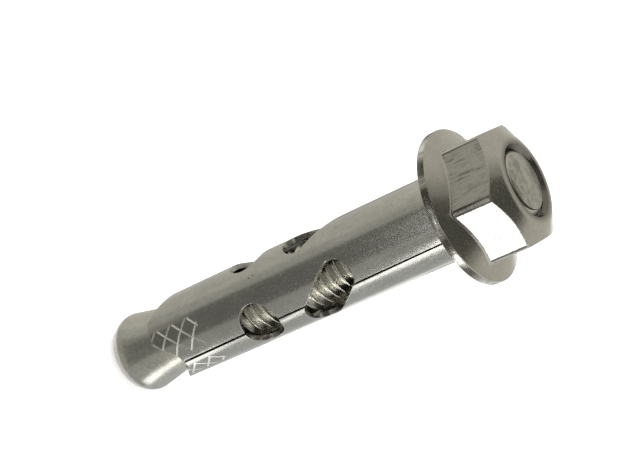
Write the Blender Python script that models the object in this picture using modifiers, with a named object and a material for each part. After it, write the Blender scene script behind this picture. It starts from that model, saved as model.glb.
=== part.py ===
"""Sleeve anchor, 10 x 50 mm, with an M8 stud.

Three pieces on one axis: a stud with a conical expander end, a sleeve rolled from a punched strip, and a
hexagon nut with an integral flange. The anchor stands on the flat end of its expander, and Z runs from the
expander to the nut.
"""

import math

import bmesh
import bpy
from mathutils import Matrix, Vector

# Fits
SEAT_GAP = 0.0003              # between pieces that touch
THREAD_GAP = 0.00015           # radial, between the stud's thread and the nut's

# Right-hand thread, with flat crests and the depth of the ISO metric profile
THREAD_DIAMETER = 0.008
THREAD_PITCH = 0.00125
THREAD_DEPTH = 0.6134          # as a share of the pitch
THREAD_CREST = 0.125           # width of the crest, as a share of the pitch
THREAD_PHASE = 0.36            # height of a crest's middle at +X, as a share of the pitch
STUD_END_RECESS = 0.0001       # stud end below the nut's end face
STUD_END_RADIUS = 0.00333
STUD_END_ANGLE = math.radians(50)

# Expander
EXPANDER_RADIUS = 0.0049
EXPANDER_FOOT_RADIUS = 0.00335
EXPANDER_EDGE_HEIGHT = 0.0022
EXPANDER_CONE_ANGLE = math.radians(10.5)

# Sleeve
SLEEVE_RADIUS = 0.005
SLEEVE_WALL = 0.00065
SLEEVE_LENGTH = 0.0424
SEAM_GAP = 0.00025
SEAM_ANGLE = math.radians(-58)
COLUMNS = 3

# Openings punched in the sleeve's strip. A tilt is measured from the sleeve's axis.
ROUND_HOLE_HEIGHT = 0.0149
ROUND_HOLE_LENGTH = 0.0057
ROUND_HOLE_WIDTH = 0.0049
ROUND_HOLE_TILT = math.radians(75)
HOLE_WEB = 0.00327             # wall left between the round hole and the slot above it
SLOT_LENGTH = 0.0095
SLOT_WIDTH = 0.0041
SLOT_TILT = math.radians(36)

# Notches between the petals at the sleeve's lower end
NOTCH_DEPTH = 0.0026
NOTCH_FLOOR = 0.0018
NOTCH_FLOOR_OFFSET = -0.00016  # middle of the floor from the column's line
NOTCH_STEEP_RUN = 0.0019
NOTCH_LONG_RUN = 0.0034
NOTCH_CORNER = 0.0004

# Flange nut
NUT_HEIGHT = 0.008
HEX_ACROSS_FLATS = 0.013
HEX_EDGE_RADIUS = 0.00087
NUT_CHAMFER_RADIUS = 0.005
NUT_CHAMFER_ANGLE = math.radians(30)
FLANGE_RADIUS = 0.00895
FLANGE_RIM_HEIGHT = 0.00105
FLANGE_RIM_ROUNDING = 0.00015
FLANGE_SLOPE = math.radians(29)
FLANGE_SEAT_MARGIN = 0.0005    # from the sleeve to the ring of the flange that bears on the work
FLANGE_RELIEF_DEPTH = 0.0001   # of the flange's underside inside that ring
COUNTERSINK_RADIUS = 0.00424
COUNTERSINK_DEPTH = 1.5        # depth for each unit of its radius

# Faceting
TURNED_STEPS = 64
THREAD_STEPS = 24
HALF_STEP = math.pi / TURNED_STEPS
ROLL_STRIPS = 48
HOLE_STEPS = 24
EDGE_STEPS = 8
CUTTER_MARGIN = 0.001          # how far a cutter runs past what it cuts
MERGE_DISTANCE = 0.0000002

THREAD_RADIUS = THREAD_DIAMETER / 2
CORE_RADIUS = THREAD_RADIUS - THREAD_DEPTH * THREAD_PITCH
SLEEVE_MID_RADIUS = SLEEVE_RADIUS - SLEEVE_WALL / 2
STRIP_WIDTH = 2 * math.pi * SLEEVE_MID_RADIUS - SEAM_GAP
COLUMN_SPACING = 2 * math.pi * SLEEVE_MID_RADIUS / COLUMNS

def obround_rise(length, width, tilt):
    """Half of the height that a tilted obround takes up along the sleeve."""
    return (length - width) / 2 * math.cos(tilt) + width / 2


ROUND_HOLE_RISE = obround_rise(ROUND_HOLE_LENGTH, ROUND_HOLE_WIDTH, ROUND_HOLE_TILT)
SLOT_RISE = obround_rise(SLOT_LENGTH, SLOT_WIDTH, SLOT_TILT)
SLOT_HEIGHT = ROUND_HOLE_HEIGHT + ROUND_HOLE_RISE + HOLE_WEB + SLOT_RISE

# The sleeve's lower edge sits round the cone, where the cone fills the sleeve's bore but for the seat gap
SEAT_RADIUS = SLEEVE_RADIUS - SLEEVE_WALL - SEAT_GAP
SLEEVE_START = EXPANDER_EDGE_HEIGHT + (EXPANDER_RADIUS - SEAT_RADIUS) / math.tan(EXPANDER_CONE_ANGLE)
FLANGE_HEIGHT = SLEEVE_START + SLEEVE_LENGTH + SEAT_GAP

# The stud's thread starts where the cone is as thick as it
THREAD_START = EXPANDER_EDGE_HEIGHT + (EXPANDER_RADIUS - THREAD_RADIUS) / math.tan(EXPANDER_CONE_ANGLE)
STUD_TOP = FLANGE_HEIGHT + NUT_HEIGHT - STUD_END_RECESS


def clear_scene():
    for old in list(bpy.data.objects):
        bpy.data.objects.remove(old, do_unlink=True)


def new_collection(name, hidden=False):
    collection = bpy.data.collections.new(name)
    collection.hide_render = hidden
    bpy.context.scene.collection.children.link(collection)
    return collection


def steel(name, colour, roughness):
    material = bpy.data.materials.new(name)
    material.use_nodes = True
    shader = material.node_tree.nodes["Principled BSDF"]
    shader.inputs["Base Color"].default_value = (*colour, 1.0)
    shader.inputs["Metallic"].default_value = 1.0
    shader.inputs["Roughness"].default_value = roughness
    return material


def add_part(name, mesh, collection, height, parent):
    part = bpy.data.objects.new(name, mesh)
    part.location = (0, 0, height)
    part.parent = parent
    collection.objects.link(part)
    return part


def add_helper(name, mesh, collection, height=0.0):
    helper = bpy.data.objects.new(name, mesh)
    helper.location = (0, 0, height)
    helper.hide_render = True
    helper.display_type = "WIRE"
    collection.objects.link(helper)
    return helper


def mesh_of(bm, name):
    mesh = bpy.data.meshes.new(name)
    bm.to_mesh(mesh)
    bm.free()
    return mesh


def profile_mesh(name, profile):
    """Edges through (radius, height) points in the half plane at +X, from the top down."""
    mesh = bpy.data.meshes.new(name)
    points = [(radius, 0, height) for radius, height in profile]
    mesh.from_pydata(points, [(i, i + 1) for i in range(len(points) - 1)], [])
    return mesh


def turn(obj, start=0.0):
    """Turns a profile round Z. A start of half a step sets its points between those of a thread."""
    obj.rotation_euler.z = start
    screw = obj.modifiers.new("turn", "SCREW")
    screw.axis = "Z"
    screw.angle = 2 * math.pi
    screw.steps = TURNED_STEPS
    screw.render_steps = TURNED_STEPS
    screw.use_merge_vertices = True
    screw.merge_threshold = MERGE_DISTANCE
    screw.use_smooth_shade = True


def add_boolean(obj, operand, operation):
    step = obj.modifiers.new(operand.name, "BOOLEAN")
    step.object = operand
    step.operation = operation
    step.solver = "EXACT"


def evaluated_mesh(obj, name):
    bpy.context.view_layer.update()
    graph = bpy.context.evaluated_depsgraph_get()
    mesh = bpy.data.meshes.new_from_object(obj.evaluated_get(graph), depsgraph=graph)
    mesh.name = name
    return mesh


def finish_mesh(mesh, material, sharp_angle):
    """Merges doubled points, shades the mesh smooth between its sharp edges and gives it its material."""
    bm = bmesh.new()
    bm.from_mesh(mesh)
    bmesh.ops.remove_doubles(bm, verts=bm.verts, dist=MERGE_DISTANCE)
    bmesh.ops.dissolve_degenerate(bm, edges=bm.edges, dist=MERGE_DISTANCE)
    bmesh.ops.recalc_face_normals(bm, faces=bm.faces)
    bm.to_mesh(mesh)
    bm.free()
    mesh.shade_smooth()
    mesh.set_sharp_from_angle(angle=sharp_angle)
    mesh.materials.clear()
    mesh.materials.append(material)


def build_threaded_rod(name, gap, low, high, cutters):
    """A rod with the thread's profile moved out by a gap, its crests in the same places whatever its ends."""
    crest = THREAD_CREST * THREAD_PITCH
    outer = THREAD_RADIUS + gap
    profile = [
        (outer, THREAD_PITCH),
        (CORE_RADIUS + gap, (THREAD_PITCH + crest) / 2),
        (outer, crest),
        (outer, 0),
    ]
    rod = add_helper(name, profile_mesh(name, profile), cutters)
    screw = rod.modifiers.new("thread", "SCREW")
    screw.axis = "Z"
    screw.angle = 2 * math.pi
    screw.screw_offset = THREAD_PITCH
    screw.iterations = math.ceil((high - low) / THREAD_PITCH) + 3
    screw.steps = THREAD_STEPS
    screw.render_steps = THREAD_STEPS
    mesh = evaluated_mesh(rod, name)
    rod.modifiers.clear()
    start = (math.floor(low / THREAD_PITCH) - 2 + THREAD_PHASE) * THREAD_PITCH - crest / 2
    bm = bmesh.new()
    bm.from_mesh(mesh)
    bmesh.ops.remove_doubles(bm, verts=bm.verts, dist=MERGE_DISTANCE)
    bmesh.ops.translate(bm, verts=bm.verts, vec=(0, 0, start))
    cut_end(bm, low, -1)
    cut_end(bm, high, 1)
    bmesh.ops.recalc_face_normals(bm, faces=bm.faces)
    bm.to_mesh(mesh)
    bm.free()
    rod.data = mesh
    return rod


def cut_end(bm, height, side):
    """Cuts a rod flat at a height, takes away what lies on one side and closes the end."""
    everything = list(bm.verts) + list(bm.edges) + list(bm.faces)
    bmesh.ops.bisect_plane(
        bm, geom=everything, plane_co=(0, 0, height), plane_no=(0, 0, side), clear_outer=True, dist=MERGE_DISTANCE / 10
    )
    level = [edge for edge in bm.edges if edge.is_boundary and all(abs(v.co.z - height) < 1e-6 for v in edge.verts)]
    bmesh.ops.edgeloop_fill(bm, edges=level)


def build_end_envelope(cutters):
    """Turned envelope whose cone chamfers the stud's end."""
    reach = THREAD_RADIUS + CUTTER_MARGIN
    drop = (reach - STUD_END_RADIUS) * math.tan(STUD_END_ANGLE)
    profile = [
        (0, STUD_TOP),
        (STUD_END_RADIUS, STUD_TOP),
        (reach, STUD_TOP - drop),
        (reach, THREAD_START - CUTTER_MARGIN),
        (0, THREAD_START - CUTTER_MARGIN),
    ]
    envelope = add_helper("end_envelope", profile_mesh("end_envelope", profile), cutters)
    turn(envelope, HALF_STEP)
    return envelope


def expander_profile():
    """Cone and rounded end. The round is a quarter of an ellipse."""
    cone_height = (EXPANDER_RADIUS - CORE_RADIUS) / math.tan(EXPANDER_CONE_ANGLE)
    profile = [
        (0, EXPANDER_EDGE_HEIGHT + cone_height),
        (CORE_RADIUS, EXPANDER_EDGE_HEIGHT + cone_height),
    ]
    for i in range(EDGE_STEPS + 1):
        angle = math.pi / 2 * i / EDGE_STEPS
        radius = EXPANDER_FOOT_RADIUS + (EXPANDER_RADIUS - EXPANDER_FOOT_RADIUS) * math.cos(angle)
        profile.append((radius, EXPANDER_EDGE_HEIGHT * (1 - math.sin(angle))))
    profile.append((0, 0))
    return profile


def build_expander_bolt(parts, cutters, parent, material):
    """Threaded stud and expander, one piece. The thread runs out in the cone."""
    cone = add_helper("expander", profile_mesh("expander", expander_profile()), cutters)
    turn(cone, HALF_STEP)
    rod = build_threaded_rod("stud_thread", 0, THREAD_START, STUD_TOP + CUTTER_MARGIN, cutters)
    add_boolean(rod, build_end_envelope(cutters), "INTERSECT")
    add_boolean(rod, cone, "UNION")
    mesh = evaluated_mesh(rod, "expander_bolt")
    bpy.data.objects.remove(rod)
    finish_mesh(mesh, material, math.radians(40))
    return add_part("expander_bolt", mesh, parts, 0, parent)


def build_strip(cutters):
    """The sleeve's strip before rolling: its width along X from 0, its outer face at Y 0, its length along Z."""
    bm = bmesh.new()
    bmesh.ops.create_cube(bm, size=1)
    bmesh.ops.translate(bm, verts=bm.verts, vec=(0.5, 0.5, 0.5))
    bmesh.ops.scale(bm, verts=bm.verts, vec=(STRIP_WIDTH, SLEEVE_WALL, SLEEVE_LENGTH))
    for i in range(1, ROLL_STRIPS):
        across = STRIP_WIDTH * i / ROLL_STRIPS
        everything = list(bm.verts) + list(bm.edges) + list(bm.faces)
        bmesh.ops.bisect_plane(bm, geom=everything, plane_co=(across, 0, 0), plane_no=(1, 0, 0))
    return add_helper("strip", mesh_of(bm, "strip"), cutters)


def add_obround(bm, across, height, length, width, tilt):
    """Adds a punch with round ends, through the strip, its length tilted from the strip's length."""
    depth = SLEEVE_WALL + 2 * CUTTER_MARGIN
    half_step = Matrix.Rotation(math.pi / HOLE_STEPS, 4, "Z")
    made = bmesh.ops.create_cone(
        bm, cap_ends=True, segments=HOLE_STEPS, radius1=width / 2, radius2=width / 2, depth=depth, matrix=half_step
    )
    for vertex in made["verts"]:
        vertex.co.x += math.copysign((length - width) / 2, vertex.co.x)
    stand = Matrix.Rotation(math.pi / 2, 4, "X")
    lean = Matrix.Rotation(-(math.pi / 2 + tilt), 4, "Y")
    place = Matrix.Translation((across, SLEEVE_WALL / 2, height))
    bmesh.ops.transform(bm, matrix=place @ lean @ stand, verts=made["verts"])


def add_notch(bm, across):
    """Adds the punch of one notch: a flat floor, a steep side towards -X and a long side towards +X."""
    floor_start = across + NOTCH_FLOOR_OFFSET - NOTCH_FLOOR / 2
    floor_end = floor_start + NOTCH_FLOOR
    reach = 1 + CUTTER_MARGIN / NOTCH_DEPTH
    made = bmesh.ops.create_cube(bm, size=1)
    for vertex in made["verts"]:
        top = vertex.co.z > 0
        if vertex.co.x < 0:
            vertex.co.x = floor_start - (0 if top else NOTCH_STEEP_RUN * reach)
        else:
            vertex.co.x = floor_end + (0 if top else NOTCH_LONG_RUN * reach)
        vertex.co.z = NOTCH_DEPTH if top else -CUTTER_MARGIN
        vertex.co.y = SLEEVE_WALL / 2 + math.copysign(SLEEVE_WALL / 2 + CUTTER_MARGIN, vertex.co.y)
    corners = {edge for vertex in made["verts"] for edge in vertex.link_edges if is_floor_corner(edge)}
    bmesh.ops.bevel(bm, geom=list(corners), offset=NOTCH_CORNER, segments=3, profile=0.5, affect="EDGES")


def is_floor_corner(edge):
    ends = [vertex.co for vertex in edge.verts]
    along_y = abs(ends[0].y - ends[1].y) > SLEEVE_WALL
    return along_y and min(end.z for end in ends) > NOTCH_DEPTH / 2


def build_punches(cutters):
    """All the punches. A column lies at each third of the strip, and both of its edges halve the same one."""
    bm = bmesh.new()
    for column in range(COLUMNS + 1):
        across = column * COLUMN_SPACING - SEAM_GAP / 2
        add_notch(bm, across)
        add_obround(bm, across, ROUND_HOLE_HEIGHT, ROUND_HOLE_LENGTH, ROUND_HOLE_WIDTH, ROUND_HOLE_TILT)
        add_obround(bm, across, SLOT_HEIGHT, SLOT_LENGTH, SLOT_WIDTH, SLOT_TILT)
    bmesh.ops.recalc_face_normals(bm, faces=bm.faces)
    return add_helper("punches", mesh_of(bm, "punches"), cutters)


def rolled(point):
    """Where a point of the strip lies once the strip is rolled round the axis."""
    angle = SEAM_ANGLE + (point.x + SEAM_GAP / 2) / SLEEVE_MID_RADIUS
    radius = SLEEVE_RADIUS - point.y
    return Vector((radius * math.cos(angle), radius * math.sin(angle), point.z))


def build_sleeve(parts, cutters, parent, material):
    """Sleeve: the punched strip rolled into a tube with an open seam."""
    strip = build_strip(cutters)
    add_boolean(strip, build_punches(cutters), "DIFFERENCE")
    mesh = evaluated_mesh(strip, "sleeve")
    bpy.data.objects.remove(strip)
    bm = bmesh.new()
    bm.from_mesh(mesh)
    bmesh.ops.triangulate(bm, faces=[face for face in bm.faces if len(face.verts) > 4])
    for vertex in bm.verts:
        vertex.co = rolled(vertex.co)
    bm.to_mesh(mesh)
    bm.free()
    finish_mesh(mesh, material, math.radians(40))
    return add_part("sleeve", mesh, parts, SLEEVE_START, parent)


def build_hexagon(cutters):
    """Hexagonal prism with a corner towards -Y and rounded upright edges."""
    bottom = FLANGE_RIM_HEIGHT / 2
    height = NUT_HEIGHT + CUTTER_MARGIN - bottom
    corner_radius = HEX_ACROSS_FLATS / 2 / math.cos(math.pi / 6)
    bm = bmesh.new()
    lift = Matrix.Translation((0, 0, bottom + height / 2))
    bmesh.ops.create_cone(
        bm, cap_ends=True, segments=6, radius1=corner_radius, radius2=corner_radius, depth=height, matrix=lift
    )
    upright = [edge for edge in bm.edges if abs(edge.verts[0].co.z - edge.verts[1].co.z) > height / 2]
    offset = HEX_EDGE_RADIUS * math.tan(math.pi / 6)
    bmesh.ops.bevel(bm, geom=upright, offset=offset, segments=3, profile=0.5, affect="EDGES")
    return add_helper("hexagon", mesh_of(bm, "hexagon"), cutters, FLANGE_HEIGHT)


def build_chamfer_envelope(cutters):
    """Turned envelope whose cone chamfers the hexagon's upper end."""
    reach = HEX_ACROSS_FLATS
    drop = (reach - NUT_CHAMFER_RADIUS) * math.tan(NUT_CHAMFER_ANGLE)
    profile = [
        (0, NUT_HEIGHT),
        (NUT_CHAMFER_RADIUS, NUT_HEIGHT),
        (reach, NUT_HEIGHT - drop),
        (reach, -CUTTER_MARGIN),
        (0, -CUTTER_MARGIN),
    ]
    envelope = add_helper("chamfer_envelope", profile_mesh("chamfer_envelope", profile), cutters, FLANGE_HEIGHT)
    turn(envelope)
    return envelope


def build_flange(cutters):
    """Turned flange: relieved underside, upright rim and a cone up to inside the hexagon."""
    rounding = FLANGE_RIM_ROUNDING
    relief_radius = SLEEVE_RADIUS + FLANGE_SEAT_MARGIN
    inner = HEX_ACROSS_FLATS / 2 - CUTTER_MARGIN
    cone_top = FLANGE_RIM_HEIGHT + (FLANGE_RADIUS - rounding - inner) * math.tan(FLANGE_SLOPE)
    profile = [
        (0, cone_top),
        (inner, cone_top),
        (FLANGE_RADIUS - rounding, FLANGE_RIM_HEIGHT),
        (FLANGE_RADIUS, FLANGE_RIM_HEIGHT - rounding),
        (FLANGE_RADIUS, rounding),
        (FLANGE_RADIUS - rounding, 0),
        (relief_radius, 0),
        (relief_radius, FLANGE_RELIEF_DEPTH),
        (0, FLANGE_RELIEF_DEPTH),
    ]
    flange = add_helper("flange", profile_mesh("flange", profile), cutters, FLANGE_HEIGHT)
    turn(flange)
    return flange


def build_countersink(name, height, side, cutters):
    """Turned cone that opens the bore at one of the nut's ends; side is 1 at the top and -1 below."""
    depth = (COUNTERSINK_RADIUS - CORE_RADIUS) * COUNTERSINK_DEPTH
    flare = CUTTER_MARGIN / COUNTERSINK_DEPTH
    ends = [
        (0, height + side * CUTTER_MARGIN),
        (COUNTERSINK_RADIUS + flare, height + side * CUTTER_MARGIN),
        (CORE_RADIUS, height - side * depth),
        (0, height - side * depth),
    ]
    profile = ends if side > 0 else ends[::-1]
    cone = add_helper(name, profile_mesh(name, profile), cutters)
    turn(cone, HALF_STEP)
    return cone


def build_flange_nut(parts, cutters, parent, material):
    """Nut: the chamfered hexagon joined with its flange, countersunk at both ends and tapped through."""
    hexagon = build_hexagon(cutters)
    add_boolean(hexagon, build_chamfer_envelope(cutters), "INTERSECT")
    add_boolean(hexagon, build_flange(cutters), "UNION")
    nut_top = FLANGE_HEIGHT + NUT_HEIGHT
    add_boolean(hexagon, build_countersink("upper_countersink", nut_top, 1, cutters), "DIFFERENCE")
    add_boolean(hexagon, build_countersink("lower_countersink", FLANGE_HEIGHT, -1, cutters), "DIFFERENCE")
    tap = build_threaded_rod("tap", THREAD_GAP, FLANGE_HEIGHT - CUTTER_MARGIN, nut_top + CUTTER_MARGIN, cutters)
    add_boolean(hexagon, tap, "DIFFERENCE")
    mesh = evaluated_mesh(hexagon, "flange_nut")
    bpy.data.objects.remove(hexagon)
    finish_mesh(mesh, material, math.radians(25))
    return add_part("flange_nut", mesh, parts, FLANGE_HEIGHT, parent)


def build():
    clear_scene()
    parts = new_collection("sleeve_anchor")
    cutters = new_collection("cutters", hidden=True)
    parent = bpy.data.objects.new("sleeve_anchor", None)
    parts.objects.link(parent)
    build_expander_bolt(parts, cutters, parent, steel("bolt_steel", (0.52, 0.51, 0.47), 0.34))
    build_sleeve(parts, cutters, parent, steel("sleeve_steel", (0.58, 0.57, 0.53), 0.30))
    build_flange_nut(parts, cutters, parent, steel("nut_steel", (0.60, 0.58, 0.53), 0.27))


build()
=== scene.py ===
import math

import bmesh
import bpy
from mathutils import Matrix, Vector


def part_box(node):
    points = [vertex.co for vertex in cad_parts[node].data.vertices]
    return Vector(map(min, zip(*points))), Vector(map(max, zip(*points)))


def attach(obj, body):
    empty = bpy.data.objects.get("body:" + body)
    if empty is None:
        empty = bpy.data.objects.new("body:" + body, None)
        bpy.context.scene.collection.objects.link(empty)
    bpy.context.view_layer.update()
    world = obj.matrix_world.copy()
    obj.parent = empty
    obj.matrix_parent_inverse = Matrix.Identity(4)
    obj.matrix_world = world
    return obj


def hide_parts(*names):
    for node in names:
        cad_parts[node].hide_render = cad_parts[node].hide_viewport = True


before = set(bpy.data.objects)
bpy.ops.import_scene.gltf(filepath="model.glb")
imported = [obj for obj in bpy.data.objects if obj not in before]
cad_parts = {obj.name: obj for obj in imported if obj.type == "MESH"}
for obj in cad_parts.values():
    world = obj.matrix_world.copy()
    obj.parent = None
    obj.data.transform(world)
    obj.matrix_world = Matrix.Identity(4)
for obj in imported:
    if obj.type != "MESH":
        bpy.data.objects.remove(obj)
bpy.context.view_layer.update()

MM = 0.001

# Places, from the frame
FLANGE_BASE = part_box("flange_nut")[0].z
NUT_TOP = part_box("flange_nut")[1].z
FLANGE_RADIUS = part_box("flange_nut")[1].x
STUD_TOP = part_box("expander_bolt")[1].z
EXPANDER_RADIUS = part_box("expander_bolt")[1].x
SLEEVE_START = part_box("sleeve")[0].z
SLEEVE_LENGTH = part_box("sleeve")[1].z - SLEEVE_START
SLEEVE_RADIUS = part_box("sleeve")[1].y

# Thread, right-handed, with the ISO metric profile
THREAD_RADIUS = 3.95 * MM
THREAD_PITCH = 1.25 * MM
THREAD_CORE = 3.25 * MM
THREAD_PHASE = 0.36            # height of a crest at +X, as a share of the pitch
THREAD_START = 8.0 * MM
THREAD_COLUMNS = 72
SPARE_TURNS = 2                # turns of thread past each end, before it is cut off flat
NUT_THREAD_CORE = 3.42 * MM
NUT_THREAD_GAP = 0.05 * MM
STUD_END_RADIUS = 3.33 * MM
STUD_END_SLOPE = math.radians(50)
STUD_END_DOME = 0.04 * MM      # half the fall of the slightly domed end
STUD_END_COLUMNS = 96
CREST_EASE = 0.02 * MM
ROOT_EASE = 0.04 * MM
BOLT_CREASE = 40               # degrees between faces from which an edge is sharp

# Expander
FOOT_RADIUS = 3.35 * MM
EXPANDER_EDGE_HEIGHT = 2.2 * MM
EXPANDER_CONE_ANGLE = math.radians(10.5)
EXPANDER_CONE_START = 0.15 * MM          # from the widest ring to the cone's first one
EXPANDER_TOP_EDGE = 0.1 * MM
EXPANDER_CONE_RINGS = 5
EXPANDER_FOOT_RINGS = 16
EXPANDER_COLUMNS = 128

# Sleeve
SLEEVE_WALL = 0.65 * MM
SLEEVE_MID_RADIUS = SLEEVE_RADIUS - SLEEVE_WALL / 2
SEAM_GAP = 0.25 * MM
SEAM_ANGLE = math.radians(-58)
SEAM_LEAN = math.radians(-0.19) / MM     # turn of the seam's line round the axis with height
SEAM_MIDDLE = 29.5 * MM                  # height where the leaning seam is at its angle
SEAM_CLOSING = 0.06 * MM                 # how much nearer its middle each edge is at the flange
SEAM_REACH = 2.4 * MM                    # width of the strip's edge that follows the lean
COLUMNS = 3
STRIP_WIDTH = 2 * math.pi * SLEEVE_MID_RADIUS - SEAM_GAP
COLUMN_SPACING = 2 * math.pi * SLEEVE_MID_RADIUS / COLUMNS
ROUND_HOLE = {"height": 14.9 * MM, "length": 5.7 * MM, "width": 4.9 * MM, "tilt": math.radians(75)}
SLOT = {"height": 24.96 * MM, "length": 9.5 * MM, "width": 4.1 * MM, "tilt": math.radians(36)}
NOTCH_DEPTH = 2.6 * MM
NOTCH_FLOOR = 1.8 * MM
NOTCH_FLOOR_OFFSET = -0.16 * MM
NOTCH_STEEP_RUN = 1.9 * MM
NOTCH_LONG_RUN = 3.4 * MM
NOTCH_CORNER = 0.4 * MM
PUNCHED_EDGE = 0.07 * MM       # rolled-over edge that the punch leaves on the outside
ROLL_STRIPS = 96
HOLE_STEPS = 48
CORNER_STEPS = 6
SLEEVE_CREASE = 25

# Knurled band at the sleeve's lower end
KNURL_LOW = 0.2 * MM
KNURL_HIGH = 7.4 * MM
KNURL_PITCH = 2.4 * MM         # from crossing to crossing along the axis
KNURL_CROSSING = (25.985 * MM, 4.8 * MM)
KNURL_WIDTH = 0.23 * MM
KNURL_DEPTH = 0.08 * MM
KNURL_PATCHES = (              # start across the strip, width and depth, with a fainter one beyond the seam
    (5.32 * MM, 3.5 * MM, KNURL_DEPTH),
    (15.11 * MM, 3.5 * MM, KNURL_DEPTH),
    (24.9 * MM, 3.5 * MM, KNURL_DEPTH),
    (0.73 * MM, 2.0 * MM, KNURL_DEPTH * 0.25),
)

# Nut
HEX_ACROSS_FLATS = 13.0 * MM
HEX_EDGE_RADIUS = 0.87 * MM
NUT_CHAMFER_RADIUS = 5.0 * MM
NUT_CHAMFER_SLOPE = math.tan(math.radians(30))
NUT_CHAMFER_EASE = 0.4 * MM    # half the width over which the end face turns into the chamfer
NUT_EDGE = 0.09 * MM
FLANGE_RIM_HEIGHT = 1.05 * MM
FLANGE_RIM_EDGE = 0.15 * MM
FLANGE_SLOPE = math.tan(math.radians(29))
FLANGE_RINGS = (0.85, 0.95, 1.0)         # shares of the way from the hexagon to the rim
RIM_CURVE = 0.3                # how far inside its corner the rim's rounded edge passes, as a share of it
FOOT_FILLET = 0.25 * MM
FILLET_POINTS = ((0, 1), (0.08, 0.55), (0.3, 0.15))    # outwards and upwards, as shares of the fillet
FILLET_END = 0.8
COUNTERSINK_RADIUS = 4.24 * MM
COUNTERSINK_DEPTH = 1.5        # depth for each unit of its width
COUNTERSINK_EASE = 0.1 * MM    # how far the cone goes on inside the thread
COUNTERSINK_COLUMNS = 96
NUT_TOP_RING = 3.0 * MM        # ring of the top face, in what the bore takes away
NUT_FOOT_RING = 6.0 * MM       # ring of the lower face, round the bore
CHAMFER_RINGS = 6
FLAT_COLUMNS = 12
CORNER_COLUMNS = 10
NUT_CREASE = 32

CUTTER_MARGIN = 1.0 * MM
MERGE_DISTANCE = 0.002 * MM
SPLIT_DISTANCE = 1e-7          # points nearer than this to a cut are on it, in metres
END_SPLIT_DISTANCE = 1e-8
LEVEL_TOLERANCE = 1e-6

# Camera
IMAGE_WIDTH = 640
FOCAL_PIXELS = 1645.2
SENSOR_WIDTH = 36.0
CAMERA_ELEVATION = math.radians(30.721)
CAMERA_ROLL = math.radians(65.033)
CAMERA_LOCATION = (-4.08 * MM, -161.40 * MM, 127.46 * MM)


# Meshes

def around(radius, angle, height):
    """The point at this height, distance from the axis and direction."""
    return (radius * math.cos(angle), radius * math.sin(angle), height)


def mesh_of(bm, name):
    bmesh.ops.recalc_face_normals(bm, faces=bm.faces)
    mesh = bpy.data.meshes.new(name)
    bm.to_mesh(mesh)
    bm.free()
    return mesh


def add_object(name, mesh):
    obj = bpy.data.objects.new(name, mesh)
    bpy.context.scene.collection.objects.link(obj)
    return obj


def combine(obj, other, operation):
    """Applies a Boolean to obj and removes the other object."""
    step = obj.modifiers.new("combine", "BOOLEAN")
    step.object = other
    step.operation = operation
    step.solver = "EXACT"
    bpy.context.view_layer.update()
    graph = bpy.context.evaluated_depsgraph_get()
    mesh = bpy.data.meshes.new_from_object(obj.evaluated_get(graph), depsgraph=graph)
    obj.modifiers.clear()
    obj.data = mesh
    bpy.data.objects.remove(other)


def shade(obj, angle):
    """Smooth shading between sharp edges, with the large faces ruling the normals."""
    obj.data.shade_smooth()
    obj.data.set_sharp_from_angle(angle=math.radians(angle))
    weigh = obj.modifiers.new("normals", "WEIGHTED_NORMAL")
    weigh.keep_sharp = True


def lathe(name, columns):
    """A closed mesh from one profile of (radius, height) per direction, listed from the axis to the axis."""
    bm = bmesh.new()
    rings = []
    for angle, profile in columns:
        rings.append([bm.verts.new(around(radius, angle, height)) for radius, height in profile[1:-1]])
    first = bm.verts.new((0, 0, columns[0][1][0][1]))
    last = bm.verts.new((0, 0, columns[0][1][-1][1]))
    for i, ring in enumerate(rings):
        beside = rings[(i + 1) % len(rings)]
        bm.faces.new((first, ring[0], beside[0]))
        for j in range(len(ring) - 1):
            bm.faces.new((ring[j], ring[j + 1], beside[j + 1], beside[j]))
        bm.faces.new((ring[-1], last, beside[-1]))
    return add_object(name, mesh_of(bm, name))


def turned(name, profile, columns):
    return lathe(name, [(2 * math.pi * i / columns, profile) for i in range(columns)])


def threaded_rod(name, profile, low, high):
    """A rod with a right-hand thread, cut off flat at low and high.

    The profile is (radius, rise) over one pitch, with the rise as a share of it.
    """
    rises = len(profile)
    turns = math.ceil((high - low) / THREAD_PITCH) + 2 * SPARE_TURNS
    start = THREAD_PITCH * (math.floor(low / THREAD_PITCH) - SPARE_TURNS + THREAD_PHASE)
    bm = bmesh.new()
    rows = []
    for i in range(turns * rises + 1):
        radius, rise = profile[i % rises]
        base = start + THREAD_PITCH * (i // rises + rise)
        row = []
        for j in range(THREAD_COLUMNS):
            angle = 2 * math.pi * j / THREAD_COLUMNS
            height = base + THREAD_PITCH * j / THREAD_COLUMNS
            row.append(bm.verts.new(around(radius, angle, height)))
        rows.append(row)
    for i in range(len(rows) - 1):
        for j in range(THREAD_COLUMNS - 1):
            bm.faces.new((rows[i][j], rows[i][j + 1], rows[i + 1][j + 1], rows[i + 1][j]))
        if i + rises + 1 < len(rows):
            turn = i + rises
            bm.faces.new((rows[i][-1], rows[turn][0], rows[turn + 1][0], rows[i + 1][-1]))
    cut_flat(bm, low, -1)
    cut_flat(bm, high, 1)
    return add_object(name, mesh_of(bm, name))


def cut_flat(bm, height, side):
    """Removes what lies beyond a level and closes the end."""
    everything = list(bm.verts) + list(bm.edges) + list(bm.faces)
    bmesh.ops.bisect_plane(
        bm,
        geom=everything,
        plane_co=(0, 0, height),
        plane_no=(0, 0, side),
        clear_outer=True,
        dist=END_SPLIT_DISTANCE,
    )
    level = []
    for edge in bm.edges:
        off_level = max(abs(vertex.co.z - height) for vertex in edge.verts)
        if edge.is_boundary and off_level < LEVEL_TOLERANCE:
            level.append(edge)
    bmesh.ops.edgeloop_fill(bm, edges=level)


# Bolt

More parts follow.
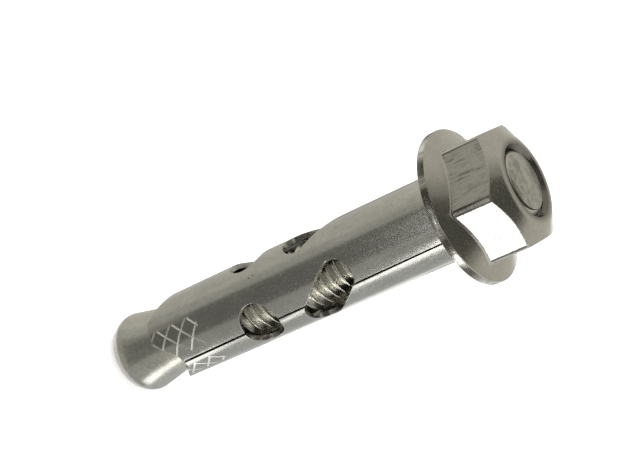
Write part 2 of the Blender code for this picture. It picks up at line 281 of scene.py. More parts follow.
def thread_profile():
    return [
        (THREAD_RADIUS, 0),
        (THREAD_RADIUS - CREST_EASE, 1 / 16),
        (THREAD_CORE + ROOT_EASE, 0.37),
        (THREAD_CORE, 0.5),
        (THREAD_CORE + ROOT_EASE, 0.63),
        (THREAD_RADIUS - CREST_EASE, 15 / 16),
    ]


def nut_thread_profile():
    return [(max(radius + NUT_THREAD_GAP, NUT_THREAD_CORE), rise) for radius, rise in thread_profile()]


def expander_profile():
    core = THREAD_CORE + EXPANDER_TOP_EDGE
    top = EXPANDER_EDGE_HEIGHT + (EXPANDER_RADIUS - core) / math.tan(EXPANDER_CONE_ANGLE)
    rise = top - EXPANDER_TOP_EDGE - EXPANDER_EDGE_HEIGHT
    profile = [(0, top), (core - EXPANDER_TOP_EDGE, top)]
    for i in range(EXPANDER_CONE_RINGS + 1):
        share = i / EXPANDER_CONE_RINGS
        height = EXPANDER_EDGE_HEIGHT + EXPANDER_CONE_START + rise * (1 - share)
        radius = EXPANDER_RADIUS - (height - EXPANDER_EDGE_HEIGHT) * math.tan(EXPANDER_CONE_ANGLE)
        profile.append((radius, height))
    for i in range(EXPANDER_FOOT_RINGS + 1):
        angle = math.pi / 2 * i / EXPANDER_FOOT_RINGS
        radius = FOOT_RADIUS + (EXPANDER_RADIUS - FOOT_RADIUS) * math.cos(angle)
        profile.append((radius, EXPANDER_EDGE_HEIGHT * (1 - math.sin(angle))))
    profile.append((FOOT_RADIUS / 2, 0))
    profile.append((0, 0))
    return profile


def build_bolt():
    """Expander and threaded stud in one piece, with the stud's end chamfered."""
    bolt = turned("anchor_bolt", expander_profile(), EXPANDER_COLUMNS)
    rod = threaded_rod("rod", thread_profile(), THREAD_START, STUD_TOP)
    reach = THREAD_RADIUS + CUTTER_MARGIN
    drop = (reach - STUD_END_RADIUS) * math.tan(STUD_END_SLOPE)
    envelope = turned(
        "envelope",
        [
            (0, STUD_TOP),
            (STUD_END_RADIUS - 3 * STUD_END_DOME, STUD_TOP - STUD_END_DOME / 2),
            (STUD_END_RADIUS, STUD_TOP - 2 * STUD_END_DOME),
            (reach, STUD_TOP - drop),
            (reach, THREAD_START - CUTTER_MARGIN),
            (0, THREAD_START - CUTTER_MARGIN),
        ],
        STUD_END_COLUMNS,
    )
    combine(rod, envelope, "INTERSECT")
    combine(bolt, rod, "UNION")
    shade(bolt, BOLT_CREASE)
    return bolt


# Sleeve: a punched and knurled strip, rolled round the axis

def add_obround(bm, across, height, length, width, tilt):
    made = bmesh.ops.create_cone(
        bm,
        cap_ends=True,
        segments=HOLE_STEPS,
        radius1=width / 2,
        radius2=width / 2,
        depth=SLEEVE_WALL + 2 * CUTTER_MARGIN,
        matrix=Matrix.Rotation(math.pi / HOLE_STEPS, 4, "Z"),
    )
    for vertex in made["verts"]:
        vertex.co.x += math.copysign((length - width) / 2, vertex.co.x)
    stand = Matrix.Rotation(math.pi / 2, 4, "X")
    lean = Matrix.Rotation(-(math.pi / 2 + tilt), 4, "Y")
    place = Matrix.Translation((across, SLEEVE_WALL / 2, height))
    bmesh.ops.transform(bm, matrix=place @ lean @ stand, verts=made["verts"])


def add_notch(bm, across):
    floor_start = across + NOTCH_FLOOR_OFFSET - NOTCH_FLOOR / 2
    floor_end = floor_start + NOTCH_FLOOR
    reach = 1 + CUTTER_MARGIN / NOTCH_DEPTH
    made = bmesh.ops.create_cube(bm, size=1)
    for vertex in made["verts"]:
        top = vertex.co.z > 0
        if vertex.co.x < 0:
            vertex.co.x = floor_start - (0 if top else NOTCH_STEEP_RUN * reach)
        else:
            vertex.co.x = floor_end + (0 if top else NOTCH_LONG_RUN * reach)
        vertex.co.z = NOTCH_DEPTH if top else -CUTTER_MARGIN
        vertex.co.y = SLEEVE_WALL / 2 + math.copysign(SLEEVE_WALL / 2 + CUTTER_MARGIN, vertex.co.y)
    corners = {
        edge
        for vertex in made["verts"]
        for edge in vertex.link_edges
        if abs(edge.verts[0].co.y - edge.verts[1].co.y) > SLEEVE_WALL and edge.verts[0].co.z > NOTCH_DEPTH / 2
    }
    bmesh.ops.bevel(
        bm, geom=list(corners), offset=NOTCH_CORNER, segments=CORNER_STEPS, profile=0.5, affect="EDGES"
    )


def punches():
    bm = bmesh.new()
    for column in range(COLUMNS + 1):
        across = column * COLUMN_SPACING - SEAM_GAP / 2
        add_notch(bm, across)
        for hole in (ROUND_HOLE, SLOT):
            add_obround(bm, across, hole["height"], hole["length"], hole["width"], hole["tilt"])
    return add_object("punches", mesh_of(bm, "punches"))


def knurl_lines(lean):
    """V-shaped cutters over the patches, all leaning one way by 45 degrees."""
    height = KNURL_HIGH - KNURL_LOW
    crossing = KNURL_CROSSING[0] - lean * (KNURL_CROSSING[1] - KNURL_LOW)
    first = crossing % KNURL_PITCH - KNURL_PITCH * math.ceil(height / KNURL_PITCH)
    bm = bmesh.new()
    for i in range(math.ceil((STRIP_WIDTH + 2 * height) / KNURL_PITCH)):
        foot = first + i * KNURL_PITCH
        for start, span, depth in KNURL_PATCHES:
            climbs = sorted(lean * (edge - foot) for edge in (start, start + span))
            low, high = max(0, climbs[0]), min(height, climbs[1])
            if high - low > KNURL_WIDTH:
                line = [(foot + lean * climb, KNURL_LOW + climb) for climb in (low, high)]
                add_knurl_line(bm, line, depth)
    return add_object("knurl", mesh_of(bm, "knurl"))


def add_knurl_line(bm, line, depth):
    half = KNURL_WIDTH / 2 * math.sqrt(2)
    ends = []
    for middle, level in line:
        section = ((-2 * half, -depth), (2 * half, -depth), (0, depth))
        ends.append([bm.verts.new((middle + x, y, level)) for x, y in section])
    sides = [ends[0], ends[1]]
    for j in range(3):
        k = (j + 1) % 3
        sides.append((ends[0][j], ends[0][k], ends[1][k], ends[1][j]))
    for side in sides:
        bm.faces.new(side).material_index = 1


def rim_edges(bm, depth):
    """Edges where a face of the strip at this depth meets a wall."""
    found = []
    for edge in bm.edges:
        off_face = max(abs(vertex.co.y - depth) for vertex in edge.verts)
        if off_face > SPLIT_DISTANCE or len(edge.link_faces) != 2:
            continue
        lean = sorted(abs(face.normal.y) for face in edge.link_faces)
        if lean[0] < 0.5 < lean[1]:
            found.append(edge)
    return found


def ease_rims(mesh):
    bm = bmesh.new()
    bm.from_mesh(mesh)
    bmesh.ops.remove_doubles(bm, verts=bm.verts, dist=MERGE_DISTANCE)
    bm.normal_update()
    for depth, offset, segments in ((0, PUNCHED_EDGE, 3), (SLEEVE_WALL, PUNCHED_EDGE / 2, 1)):
        rims = rim_edges(bm, depth)
        bmesh.ops.bevel(
            bm, geom=rims, offset=offset, segments=segments, profile=0.5, affect="EDGES", clamp_overlap=False
        )
    bm.to_mesh(mesh)
    bm.free()


def seam_shift(across, height):
    """Extra turn of a point near the strip's edges, which lean and close a little towards the flange."""
    edge = min(across, STRIP_WIDTH - across)
    if edge > SEAM_REACH:
        return 0
    closing = SEAM_CLOSING / SLEEVE_MID_RADIUS * (height - SLEEVE_START) / SLEEVE_LENGTH
    side = -1 if across < STRIP_WIDTH / 2 else 1
    return (SEAM_LEAN * (height - SEAM_MIDDLE) + side * closing) * (1 - edge / SEAM_REACH)


def roll(mesh):
    """Divides the strip across its width and bends it round the axis."""
    bm = bmesh.new()
    bm.from_mesh(mesh)
    for i in range(1, ROLL_STRIPS):
        across = STRIP_WIDTH * i / ROLL_STRIPS
        everything = list(bm.verts) + list(bm.edges) + list(bm.faces)
        bmesh.ops.bisect_plane(
            bm, geom=everything, plane_co=(across, 0, 0), plane_no=(1, 0, 0), dist=SPLIT_DISTANCE
        )
    for vertex in bm.verts:
        height = SLEEVE_START + vertex.co.z
        turn = (vertex.co.x + SEAM_GAP / 2) / SLEEVE_MID_RADIUS
        angle = SEAM_ANGLE + turn + seam_shift(vertex.co.x, height)
        vertex.co = around(SLEEVE_RADIUS - vertex.co.y, angle, height)
    bm.to_mesh(mesh)
    bm.free()


def build_sleeve(materials):
    """The sleeve. The first material is its surface's, the second that of the knurled lines."""
    bm = bmesh.new()
    bmesh.ops.create_cube(bm, size=1)
    bmesh.ops.translate(bm, verts=bm.verts, vec=(0.5, 0.5, 0.5))
    bmesh.ops.scale(bm, verts=bm.verts, vec=(STRIP_WIDTH, SLEEVE_WALL, SLEEVE_LENGTH))
    sleeve = add_object("anchor_sleeve", mesh_of(bm, "anchor_sleeve"))
    for material in materials:
        sleeve.data.materials.append(material)
    combine(sleeve, punches(), "DIFFERENCE")
    ease_rims(sleeve.data)
    for lean in (1, -1):
        lines = knurl_lines(lean)
        for material in materials:
            lines.data.materials.append(material)
        combine(sleeve, lines, "DIFFERENCE")
    roll(sleeve.data)
    shade(sleeve, SLEEVE_CREASE)
    return sleeve


# Nut

def hexagon_radius(angle):
    """Distance from the axis to the hexagon, with rounded upright edges and two flats square to X."""
    turn = abs((angle + math.pi / 6) % (math.pi / 3) - math.pi / 6)
    inner_flat = HEX_ACROSS_FLATS / 2 - HEX_EDGE_RADIUS
    if HEX_ACROSS_FLATS / 2 * math.tan(turn) <= inner_flat * math.tan(math.pi / 6):
        return HEX_ACROSS_FLATS / 2 / math.cos(turn)
    corner = inner_flat / math.cos(math.pi / 6)
    away = math.pi / 6 - turn
    return corner * math.cos(away) + math.sqrt(HEX_EDGE_RADIUS**2 - (corner * math.sin(away)) ** 2)


def hexagon_directions():
    """Directions round the nut, closer together on the rounded edges."""
    inner_flat = HEX_ACROSS_FLATS / 2 - HEX_EDGE_RADIUS
    half_flat = math.atan(inner_flat * math.tan(math.pi / 6) / (HEX_ACROSS_FLATS / 2))
    directions = []
    for side in range(6):
        middle = side * math.pi / 3
        for i in range(FLAT_COLUMNS):
            directions.append(middle - half_flat + 2 * half_flat * i / FLAT_COLUMNS)
        for i in range(CORNER_COLUMNS):
            directions.append(middle + half_flat + 2 * (math.pi / 6 - half_flat) * i / CORNER_COLUMNS)
    return directions


def chamfer_drop(radius):
    start = NUT_CHAMFER_RADIUS - NUT_CHAMFER_EASE
    past = radius - start
    if past < 2 * NUT_CHAMFER_EASE:
        return NUT_CHAMFER_SLOPE * past**2 / (4 * NUT_CHAMFER_EASE)
    return NUT_CHAMFER_SLOPE * (radius - NUT_CHAMFER_RADIUS)


def nut_profile(angle):
    wall = hexagon_radius(angle)
    height = NUT_TOP - FLANGE_BASE
    profile = [(0, height), (NUT_TOP_RING, height), (NUT_CHAMFER_RADIUS - NUT_CHAMFER_EASE, height)]
    for i in range(1, CHAMFER_RINGS + 1):
        radius = NUT_CHAMFER_RADIUS - NUT_CHAMFER_EASE + 2 * NUT_CHAMFER_EASE * i / CHAMFER_RINGS
        profile.append((radius, height - chamfer_drop(radius)))
    profile.append((wall - NUT_EDGE, height - chamfer_drop(wall - NUT_EDGE)))
    shoulder = height - chamfer_drop(wall)
    profile.append((wall - NUT_EDGE / 4, shoulder - NUT_EDGE / 4))
    profile.append((wall, shoulder - NUT_EDGE))
    cone_edge = FLANGE_RADIUS - FLANGE_RIM_EDGE
    foot = FLANGE_RIM_HEIGHT + (cone_edge - wall) * FLANGE_SLOPE
    for out, up in FILLET_POINTS:
        profile.append((wall + FOOT_FILLET * out, foot + FOOT_FILLET * up))
    profile.append((wall + FOOT_FILLET * FILLET_END, foot - FOOT_FILLET * FILLET_END * FLANGE_SLOPE))
    for share in FLANGE_RINGS:
        radius = wall + (cone_edge - wall) * share
        profile.append((radius, FLANGE_RIM_HEIGHT + (cone_edge - radius) * FLANGE_SLOPE))
    rounding = FLANGE_RIM_EDGE * RIM_CURVE
    profile.append((FLANGE_RADIUS - rounding, FLANGE_RIM_HEIGHT - rounding))
    profile.append((FLANGE_RADIUS, FLANGE_RIM_HEIGHT - FLANGE_RIM_EDGE))
    profile.append((FLANGE_RADIUS, FLANGE_RIM_EDGE))
    profile.append((FLANGE_RADIUS - rounding, rounding))
    profile.append((FLANGE_RADIUS - FLANGE_RIM_EDGE, 0))
    profile.append((NUT_FOOT_RING, 0))
    profile.append((0, 0))
    return [(radius, FLANGE_BASE + level) for radius, level in profile]


def countersink(name, level, side):
    """Cone that opens the bore at one of the nut's faces; side is 1 at the top and -1 below."""
    width = COUNTERSINK_RADIUS - NUT_THREAD_CORE + COUNTERSINK_EASE
    inner = (COUNTERSINK_RADIUS - width, level - side * width * COUNTERSINK_DEPTH)
    outer = (COUNTERSINK_RADIUS + CUTTER_MARGIN / COUNTERSINK_DEPTH, level + side * CUTTER_MARGIN)
    profile = [(0, outer[1]), outer, inner, (0, inner[1])]
    return turned(name, profile, COUNTERSINK_COLUMNS)


def build_nut():
    nut = lathe("anchor_nut", [(angle, nut_profile(angle)) for angle in hexagon_directions()])
    margin = CUTTER_MARGIN / 2
    tap = threaded_rod("tap", nut_thread_profile(), FLANGE_BASE - margin, NUT_TOP + margin)
    combine(nut, tap, "DIFFERENCE")
    combine(nut, countersink("upper_countersink", NUT_TOP, 1), "DIFFERENCE")
    combine(nut, countersink("lower_countersink", FLANGE_BASE, -1), "DIFFERENCE")
    shade(nut, NUT_CREASE)
    return nut


# Materials

CLOUD_SIZE = 2.2 * MM
WAVE_SIZE = 0.9 * MM
MOTTLE_SIZE = 0.45 * MM
SPECK_SIZE = 0.32 * MM
GRAIN_SIZE = 0.17 * MM
STREAK_SIZE = 0.12 * MM
STREAK_DEPTH = 3e-6            # height of the relief, in metres, as for the grain of each steel
WAVE_DEPTH = STREAK_DEPTH * 1.5
BRUSH_SIZE = 0.20 * MM
WEAR_SIZE = 1.6 * MM
BLOTCH_SIZE = 1.3 * MM
SPECK_TONE = (0.12, 0.115, 0.10)
# Tint of the stud's thread, made lighter as a painted sheen.
THREAD_TINT_AND_SHEEN_TONE = (0.58, 0.565, 0.49)
BLOTCH_TONE = (0.16, 0.15, 0.125)
BRUSHED_TONE = (0.17, 0.165, 0.14)
# Painted highlight along the middle of the nut's rounded upright edges.
EDGE_HIGHLIGHT_TONE = (0.80, 0.79, 0.73)
# Painted dark reflection in a line where the nut's flats turn into their rounded edges.
EDGE_DARK_REFLECTION_TONE = (0.11, 0.105, 0.085)
# Painted shade for the nut's countersink and bore.
RECESS_SHADE_TONE = (0.10, 0.095, 0.08)


class Nodes:
    """Short ways to add and link the nodes of one material."""

    def __init__(self, name):
        self.material = bpy.data.materials.new(name)
        self.material.use_nodes = True
        self.tree = self.material.node_tree
        self.shader = self.tree.nodes["Principled BSDF"]
        self.place = self.tree.nodes.new("ShaderNodeTexCoord").outputs["Object"]
        self.tint = None

    def add(self, kind, inputs=None, **settings):
        node = self.tree.nodes.new(kind)
        for key, value in settings.items():
            setattr(node, key, value)
        for key, value in (inputs or {}).items():
            self.feed(node.inputs[key], value)
        return node

    def feed(self, socket, value):
        if isinstance(value, bpy.types.NodeSocket):
            self.tree.links.new(value, socket)
        else:
            socket.default_value = value

    def noise(self, size, stretch=(1, 1, 1), detail=3.0, roughness=0.55):
        """Noise with features of about this size, drawn out along the axes whose stretch is over 1."""
        scale = tuple(1 / (size * part) for part in stretch)
        mapping = self.add("ShaderNodeMapping", {"Vector": self.place, "Scale": scale})
        inputs = {"Vector": mapping.outputs[0], "Scale": 1.0, "Detail": detail, "Roughness": roughness}
        return self.add("ShaderNodeTexNoise", inputs).outputs["Fac"]

    def spread(self, value, low, high, out_low=0.0, out_high=1.0):
        inputs = {"Value": value, "From Min": low, "From Max": high, "To Min": out_low, "To Max": out_high}
        return self.add("ShaderNodeMapRange", inputs).outputs["Result"]

    def math(self, operation, first, second=0):
        return self.add("ShaderNodeMath", {0: first, 1: second}, operation=operation).outputs[0]

    def colour_mix(self, share, first, second):
        node = self.add("ShaderNodeMix", data_type="RGBA")
        self.feed(node.inputs[0], share)
        self.feed(node.inputs[6], first)
        self.feed(node.inputs[7], second)
        return node.outputs[2]

    def over(self, share, colour):
        """Lays a colour over the base colour, by a share."""
        self.tint = self.colour_mix(share, self.tint, (*colour, 1))
        self.feed(self.shader.inputs["Base Color"], self.tint)

    def height(self):
        return self.add("ShaderNodeSeparateXYZ", {0: self.place}).outputs[2]

    def axis_distance(self):
        level = self.add("ShaderNodeVectorMath", {0: self.place, 1: (1, 1, 0)}, operation="MULTIPLY")
        return self.add("ShaderNodeVectorMath", {0: level.outputs[0]}, operation="LENGTH").outputs["Value"]

    def facing(self):
        """The surface's direction as X, Y and Z."""
        normal = self.tree.nodes.new("ShaderNodeTexCoord").outputs["Normal"]
        return self.add("ShaderNodeSeparateXYZ", {0: normal}).outputs

    def upright(self):
        """1 where the surface stands upright, 0 where it leans."""
        return self.spread(self.math("ABSOLUTE", self.facing()[2]), 0.25, 0.1)

    def angle_off_face(self):
        """Degrees between the surface's direction and that of the nearest face of the hexagon."""
        across, along, _ = self.facing()
        turn = self.math("DEGREES", self.math("ARCTAN2", along, across))
        return self.math("PINGPONG", turn, 30)

    def bump(self, height, distance, normal=None):
        inputs = {"Height": height, "Distance": distance, "Strength": 1.0}
        node = self.add("ShaderNodeBump", inputs)
        if normal is not None:
            self.feed(node.inputs["Normal"], normal)
        return node.outputs["Normal"]


def plated_steel(name, light, dark, roughness, drawn_out, grain_depth, speck_share):
    """Zinc plated steel: two tones in clouds, streaks left by tools, fine grain and a few dark specks.

    The streaks are drawn_out times as long as they are wide.
    """
    nodes = Nodes(name)
    clouds = nodes.spread(nodes.noise(CLOUD_SIZE, (1, 1, 1.6), 4.0), 0.3, 0.7, 0, 0.4)
    mottle = nodes.spread(nodes.noise(MOTTLE_SIZE, (1, 1, 1.3), 3.0), 0.35, 0.65, 0, 0.3)
    fine = nodes.noise(GRAIN_SIZE, (1, 1, 1.2), 1.0)
    grain = nodes.spread(fine, 0.38, 0.66, 0, 0.3)
    streaks = nodes.noise(STREAK_SIZE, (1, 1, drawn_out), 4.0, 0.6)
    tone = nodes.math("ADD", nodes.math("ADD", clouds, mottle), grain)
    nodes.tint = nodes.colour_mix(tone, (*dark, 1), (*light, 1))
    specks = nodes.spread(nodes.noise(SPECK_SIZE, (1, 1, 1.5), 1.5), 1 - speck_share, 1.06 - speck_share)
    nodes.over(specks, SPECK_TONE)
    nodes.shader.inputs["Metallic"].default_value = 1.0
    rough = nodes.spread(streaks, 0.3, 0.7, roughness * 0.8, roughness * 1.25)
    glints = nodes.spread(fine, 0.56, 0.72, 0, 0.16)
    nodes.feed(nodes.shader.inputs["Roughness"], nodes.math("ADD", rough, glints))
    normal = nodes.bump(streaks, STREAK_DEPTH)
    normal = nodes.bump(nodes.noise(WAVE_SIZE, (1, 1, 1.4), 2.0), WAVE_DEPTH, normal)
    normal = nodes.bump(fine, grain_depth, normal)
    nodes.feed(nodes.shader.inputs["Normal"], normal)
    return nodes


def bolt_look():
    """The bolt's steel, with a lighter, more even thread, partly its own tint and partly painted sheen, and a
    blotched, darker end.
    """
    nodes = plated_steel(
        "bolt_steel_look",
        light=(0.58, 0.57, 0.52),
        dark=(0.40, 0.39, 0.35),
        roughness=0.27,
        drawn_out=3,
        grain_depth=4e-6,
        speck_share=0.27,
    )
    # Partly the thread's own tint, partly painted sheen: a lighter, yellower tone over the stud below the
    # flange.
    in_sleeve = nodes.spread(nodes.height(), FLANGE_BASE, FLANGE_BASE - 0.5 * MM)
    on_stud = nodes.math("MULTIPLY", nodes.spread(nodes.axis_distance(), 4.1 * MM, 4.0 * MM), in_sleeve)
    nodes.over(nodes.math("MULTIPLY", on_stud, 0.8), THREAD_TINT_AND_SHEEN_TONE)
    at_end = nodes.spread(nodes.height(), STUD_TOP - 0.1 * MM, STUD_TOP - 0.04 * MM)
    blotches = nodes.spread(nodes.noise(BLOTCH_SIZE, (1, 1, 1), 4.0, 0.7), 0.44, 0.60, 0.25, 0.7)
    nodes.over(nodes.math("MULTIPLY", at_end, blotches), BLOTCH_TONE)
    return nodes.material


def sleeve_look():
    nodes = plated_steel(
        "sleeve_steel_look",
        light=(0.50, 0.49, 0.455),
        dark=(0.35, 0.34, 0.31),
        roughness=0.20,
        drawn_out=40,
        grain_depth=3.6e-6,
        speck_share=0.26,
    )
    return nodes.material


def knurl_highlight_look():
    """Rough steel for the knurled lines, near white as a painted highlight."""
    # Painted highlight: the lines are much lighter than the sleeve's steel.
    nodes = plated_steel(
        "knurl_highlight_steel_look",
        light=(1.0, 0.99, 0.94),
        dark=(0.85, 0.84, 0.79),
        roughness=0.50,
        drawn_out=40,
        grain_depth=3e-6,
        speck_share=0.26,
    )
    return nodes.material


def nut_look():
    """The nut's steel, with brush marks on the hexagon, a painted highlight and a painted dark reflection
    along its rounded edges, and painted shade in the countersink and bore.
    """
    nodes = plated_steel(
        "nut_steel_look",
        light=(0.50, 0.48, 0.435),
        dark=(0.39, 0.375, 0.335),
        roughness=0.20,
        drawn_out=12,
        grain_depth=1.1e-6,
        speck_share=0.25,
    )
    upright = nodes.upright()
    brushed = nodes.spread(nodes.noise(BRUSH_SIZE, (1, 1, 11), 3.0, 0.65), 0.48, 0.62, 0, 0.75)
    worn = nodes.spread(nodes.noise(WEAR_SIZE, (1, 1, 1), 2.0), 0.35, 0.6)
    marks = nodes.math("MULTIPLY", nodes.math("MULTIPLY", brushed, worn), upright)
    nodes.over(marks, BRUSHED_TONE)
    off_face = nodes.angle_off_face()
    # Painted highlight: the middle of each rounded upright edge is made lighter.
    middle = nodes.math("MULTIPLY", nodes.spread(off_face, 23, 28), upright)
    nodes.over(nodes.math("MULTIPLY", middle, 0.7), EDGE_HIGHLIGHT_TONE)
    # Painted dark reflection: a dark line where each flat turns into its rounded edge.
    line = nodes.math("MULTIPLY", nodes.spread(off_face, 2, 6), nodes.spread(off_face, 22, 16))
    nodes.over(nodes.math("MULTIPLY", nodes.math("MULTIPLY", line, upright), 0.9), EDGE_DARK_REFLECTION_TONE)
    # Painted shade: the bore and countersink are darker towards the axis.
    recess_shade = nodes.spread(nodes.axis_distance(), 5.0 * MM, 4.3 * MM)
    nodes.over(nodes.math("MULTIPLY", recess_shade, 0.8), RECESS_SHADE_TONE)
    return nodes.material


def dress(piece, body, node):
    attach(piece, body)
    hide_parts(node)


# Stage

SKY_LIGHT = 0.9                # strength of the world for what isn't seen or mirrored
FLOOR_REACH = 3.0
FLOOR_LIFT = 0.36              # glow of the floor where it is seen or mirrored
CARD_LEVEL = 0.3 * MM          # height of the cards that fill the floor
UPPER_CARD_LEVEL = 0.6 * MM    # height of those that lie on them
CARD_STEP = 6                  # degrees from corner to corner along a curved edge
NEAR = 5.2                     # where the cards on the floor begin and end, in mm from the axis
FAR = 450
WALL_DISTANCE = 500 * MM
CEILING_SHIFT = 70 * MM
CEILING_CORNERS = 24
LAMP_AIM = 30 * MM
WHITE = (1, 1, 1)
WARM = (1.0, 0.98, 0.89)
GREENISH = (1.0, 1.0, 0.93)
COOL = (0.97, 1.0, 0.99)


def background_share(tree):
    """1 for camera, glossy and transmission rays, which see the background white."""
    path = tree.nodes.new("ShaderNodeLightPath")
    total = path.outputs["Is Camera Ray"]
    for name in ("Is Glossy Ray", "Is Transmission Ray"):
        node = tree.nodes.new("ShaderNodeMath")
        node.operation = "MAXIMUM"
        tree.links.new(total, node.inputs[0])
        tree.links.new(path.outputs[name], node.inputs[1])
        total = node.outputs[0]
    return total


def build_world():
    world = bpy.data.worlds.new("studio")
    bpy.context.scene.world = world
    world.use_nodes = True
    tree = world.node_tree
    background = tree.nodes["Background"]
    mix = tree.nodes.new("ShaderNodeMapRange")
    mix.inputs["To Min"].default_value = SKY_LIGHT
    mix.inputs["To Max"].default_value = 1.0
    tree.links.new(background_share(tree), mix.inputs["Value"])
    tree.links.new(mix.outputs[0], background.inputs["Strength"])
    background.inputs["Color"].default_value = (1, 1, 1, 1)


def build_floor():
    bm = bmesh.new()
    bmesh.ops.create_grid(bm, x_segments=1, y_segments=1, size=FLOOR_REACH)
    floor = add_object("floor", mesh_of(bm, "floor"))
    material = bpy.data.materials.new("pale_floor")
    material.use_nodes = True
    tree = material.node_tree
    shader = tree.nodes["Principled BSDF"]
    shader.inputs["Base Color"].default_value = (0.85, 0.85, 0.85, 1)
    shader.inputs["Roughness"].default_value = 0.9
    shader.inputs["Specular IOR Level"].default_value = 0.0
    shader.inputs["Emission Color"].default_value = (1, 1, 1, 1)
    lift = tree.nodes.new("ShaderNodeMapRange")
    lift.inputs["To Min"].default_value = 0.0
    lift.inputs["To Max"].default_value = FLOOR_LIFT
    tree.links.new(background_share(tree), lift.inputs["Value"])
    tree.links.new(lift.outputs[0], shader.inputs["Emission Strength"])
    floor.data.materials.append(material)


def card(name, colour, strength, corners):
    bm = bmesh.new()
    bm.faces.new([bm.verts.new(corner) for corner in corners])
    light_card(name, colour, strength, mesh_of(bm, name))


def light_card(name, colour, strength, mesh):
    """A studio card that only the metal's reflections show."""
    made = add_object(name, mesh)
    material = bpy.data.materials.new(name)
    material.use_nodes = True
    tree = material.node_tree
    shader = tree.nodes["Principled BSDF"]
    shader.inputs["Base Color"].default_value = (0, 0, 0, 1)
    shader.inputs["Roughness"].default_value = 1.0
    shader.inputs["Specular IOR Level"].default_value = 0.0
    shader.inputs["Emission Color"].default_value = (*colour, 1)
    shader.inputs["Emission Strength"].default_value = strength
    made.data.materials.append(material)
    made.visible_camera = False
    made.visible_diffuse = False
    made.visible_shadow = False
    made.visible_transmission = False


def floor_card(name, colour, strength, corners, level=UPPER_CARD_LEVEL):
    """A card lying over the floor, with corners as (distance in mm, direction in degrees) from the axis."""
    points = []
    for i, (distance, turn) in enumerate(corners):
        after_distance, after_turn = corners[(i + 1) % len(corners)]
        steps = max(1, math.ceil(abs(after_turn - turn) / CARD_STEP))
        for j in range(steps):
            reach = (distance + (after_distance - distance) * j / steps) * MM
            angle = math.radians(turn + (after_turn - turn) * j / steps)
            points.append(around(reach, angle, level))
    card(name, colour, strength, points)


def sector(name, colour, strength, directions, distances=(NEAR, FAR), level=UPPER_CARD_LEVEL):
    """A card that is a part of a ring round the axis."""
    start, end = directions
    inner, outer = distances
    corners = [(inner, start), (outer, start), (outer, end), (inner, end)]
    floor_card(name, colour, strength, corners, level)


def wall_card(name, colour, strength, directions, low, high):
    """A curved card that stands round the part, from one direction to another."""
    start, end = directions
    steps = max(2, math.ceil((end - start) / CARD_STEP))
    bm = bmesh.new()
    feet = []
    heads = []
    for i in range(steps + 1):
        angle = math.radians(start + (end - start) * i / steps)
        feet.append(bm.verts.new(around(WALL_DISTANCE, angle, low)))
        heads.append(bm.verts.new(around(WALL_DISTANCE, angle, high)))
    for i in range(steps):
        bm.faces.new((feet[i], feet[i + 1], heads[i + 1], heads[i]))
    light_card(name, colour, strength, mesh_of(bm, name))


def ceiling(name, colour, strength, reach, height):
    """A round card overhead, its middle to the right of the part."""
    corners = []
    for i in range(CEILING_CORNERS):
        angle = math.radians(360 / CEILING_CORNERS * i)
        corners.append((CEILING_SHIFT + reach * math.cos(angle), reach * math.sin(angle), height))
    card(name, colour, strength, corners)


def build_ground_cards():
    """Cards that fill the floor, from dark at the front to light at the side."""
    sector("front_dark", GREENISH, 0.22, (-137, -77), level=CARD_LEVEL)
    sector("front_grey", (1.0, 1.0, 0.95), 0.50, (-77, -29), level=CARD_LEVEL)
    sector("left_grey", (1.0, 1.0, 0.92), 0.56, (-160, -137), level=CARD_LEVEL)
    sector("side_grey", COOL, 0.66, (-29, 42), level=CARD_LEVEL)
    sector("side_pale", WHITE, 1.4, (42, 98), level=CARD_LEVEL)
    sector("back_dim", WARM, 0.50, (98, 124), level=CARD_LEVEL)
    sector("back_warm", WARM, 0.72, (124, 200), level=CARD_LEVEL)


def build_highlights():
    """White cards, for the line beside the seam, one face of the nut and the foot."""
    seam_side = [(25, -22), (40, -16), (66, -28), (96, -32)]
    far_side = [(96, -15), (66, -18), (40, -10), (25, -19)]
    floor_card("seam_strip", WHITE, 3.0, seam_side + far_side)
    floor_card("face_light", WHITE, 7.5, [(103, -26), (107, -46), (134, -46), (134, -12), (107, -18)])
    floor_card("foot_light", WHITE, 2.8, [(9, -36), (25, -30), (25, -12), (9, -16)])


def build_nut_cards():
    """Cards that the rounded edges of the hexagon mirror."""
    near_corner = (109, 128)
    beside_corner = (109, 130)
    far_corner = (109, 132)
    sector("corner_light", WHITE, 3.0, (-93, -87), near_corner)
    sector("corner_dark", WARM, 0.10, (-136, -93), beside_corner)
    sector("corner_dim", WARM, 0.12, (-87, -48), beside_corner)
    sector("edge_dark", WARM, 0.06, (-178, -157), far_corner)
    sector("edge_light", WARM, 1.05, (140, 182), far_corner)


def build_end_cards():
    """Cards near the foot, which its bell mirrors, and others that the sleeve mirrors near the flange."""
    sector("front_near", WARM, 0.5, (-137, -77), (NEAR, 10))
    floor_card("front_left", WARM, 0.42, [(10, -137), (24, -137), (17, -124), (10, -124)])
    sector("side_near", WHITE, 0.80, (42, 98), (NEAR, 30))
    sector("side_low", WHITE, 0.85, (42, 56), (30, 52))
    sector("side_rim", WARM, 0.72, (54, 98), (80, 106))
    sector("back_rim", WARM, 0.86, (124, 205), (86, 103))
    sector("front_rim", WARM, 0.40, (-122, -100), (84, 103))
    sector("rim_light", WHITE, 3.0, (-130, -68), (103.5, 108.5))


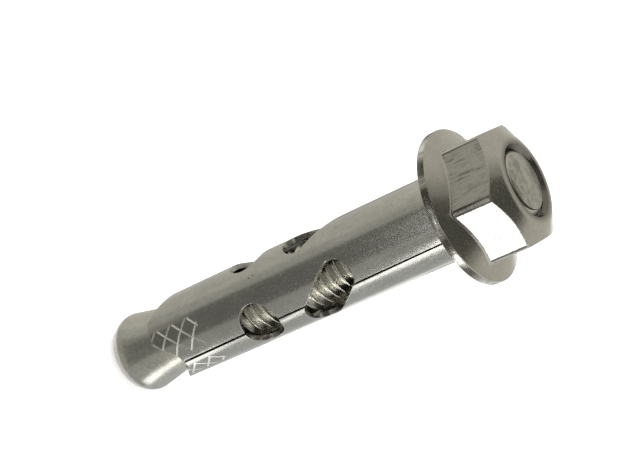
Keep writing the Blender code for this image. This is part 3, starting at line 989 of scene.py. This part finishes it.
def build_room_cards():
    """Walls and ceilings, which the flange, the chamfer and the end faces mirror."""
    wall_card("front_wall", WARM, 0.10, (-150, -30), 20 * MM, 600 * MM)
    wall_card("back_wall", WARM, 0.72, (30, 226), 0.5 * MM, 760 * MM)
    ceiling("ceiling_dark", (1.0, 1.0, 0.84), 0.11, 150 * MM, 351 * MM)
    ceiling("ceiling_grey", WARM, 0.42, 215 * MM, 352 * MM)
    ceiling("ceiling_warm", WARM, 0.62, 620 * MM, 770 * MM)


def area_light(name, location, size, power, colour=(1, 1, 1)):
    data = bpy.data.lights.new(name, "AREA")
    data.shape = "SQUARE"
    data.size = size
    data.energy = power
    data.color = colour
    lamp = bpy.data.objects.new(name, data)
    bpy.context.scene.collection.objects.link(lamp)
    lamp.location = location
    aim = Vector((0, 0, LAMP_AIM)) - Vector(location)
    lamp.rotation_euler = aim.to_track_quat("-Z", "Y").to_euler()
    lamp.visible_glossy = False


def build_lights():
    area_light("key", (-0.5, 0.35, 0.6), 0.5, 4.5, (1.0, 0.98, 0.94))
    area_light("fill", (0.6, -0.3, 0.5), 0.6, 2.2)


def build_camera():
    data = bpy.data.cameras.new("camera")
    data.sensor_width = SENSOR_WIDTH
    data.lens = FOCAL_PIXELS * SENSOR_WIDTH / IMAGE_WIDTH
    data.clip_start = 0.01
    camera = bpy.data.objects.new("camera", data)
    bpy.context.scene.collection.objects.link(camera)
    tilt = Matrix.Rotation(math.pi / 2 - CAMERA_ELEVATION, 4, "X")
    spin = Matrix.Rotation(CAMERA_ROLL, 4, "Z")
    camera.matrix_world = Matrix.Translation(CAMERA_LOCATION) @ tilt @ spin
    bpy.context.scene.camera = camera


def build():
    bolt = build_bolt()
    bolt.data.materials.append(bolt_look())
    sleeve = build_sleeve((sleeve_look(), knurl_highlight_look()))
    nut = build_nut()
    nut.data.materials.append(nut_look())
    dress(bolt, "bolt", "expander_bolt")
    dress(sleeve, "sleeve", "sleeve")
    dress(nut, "nut", "flange_nut")
    build_world()
    build_floor()
    build_ground_cards()
    build_highlights()
    build_nut_cards()
    build_end_cards()
    build_room_cards()
    build_lights()
    build_camera()
    scene = bpy.context.scene
    scene.view_settings.view_transform = "Standard"


build()
bpy.context.view_layer.update()
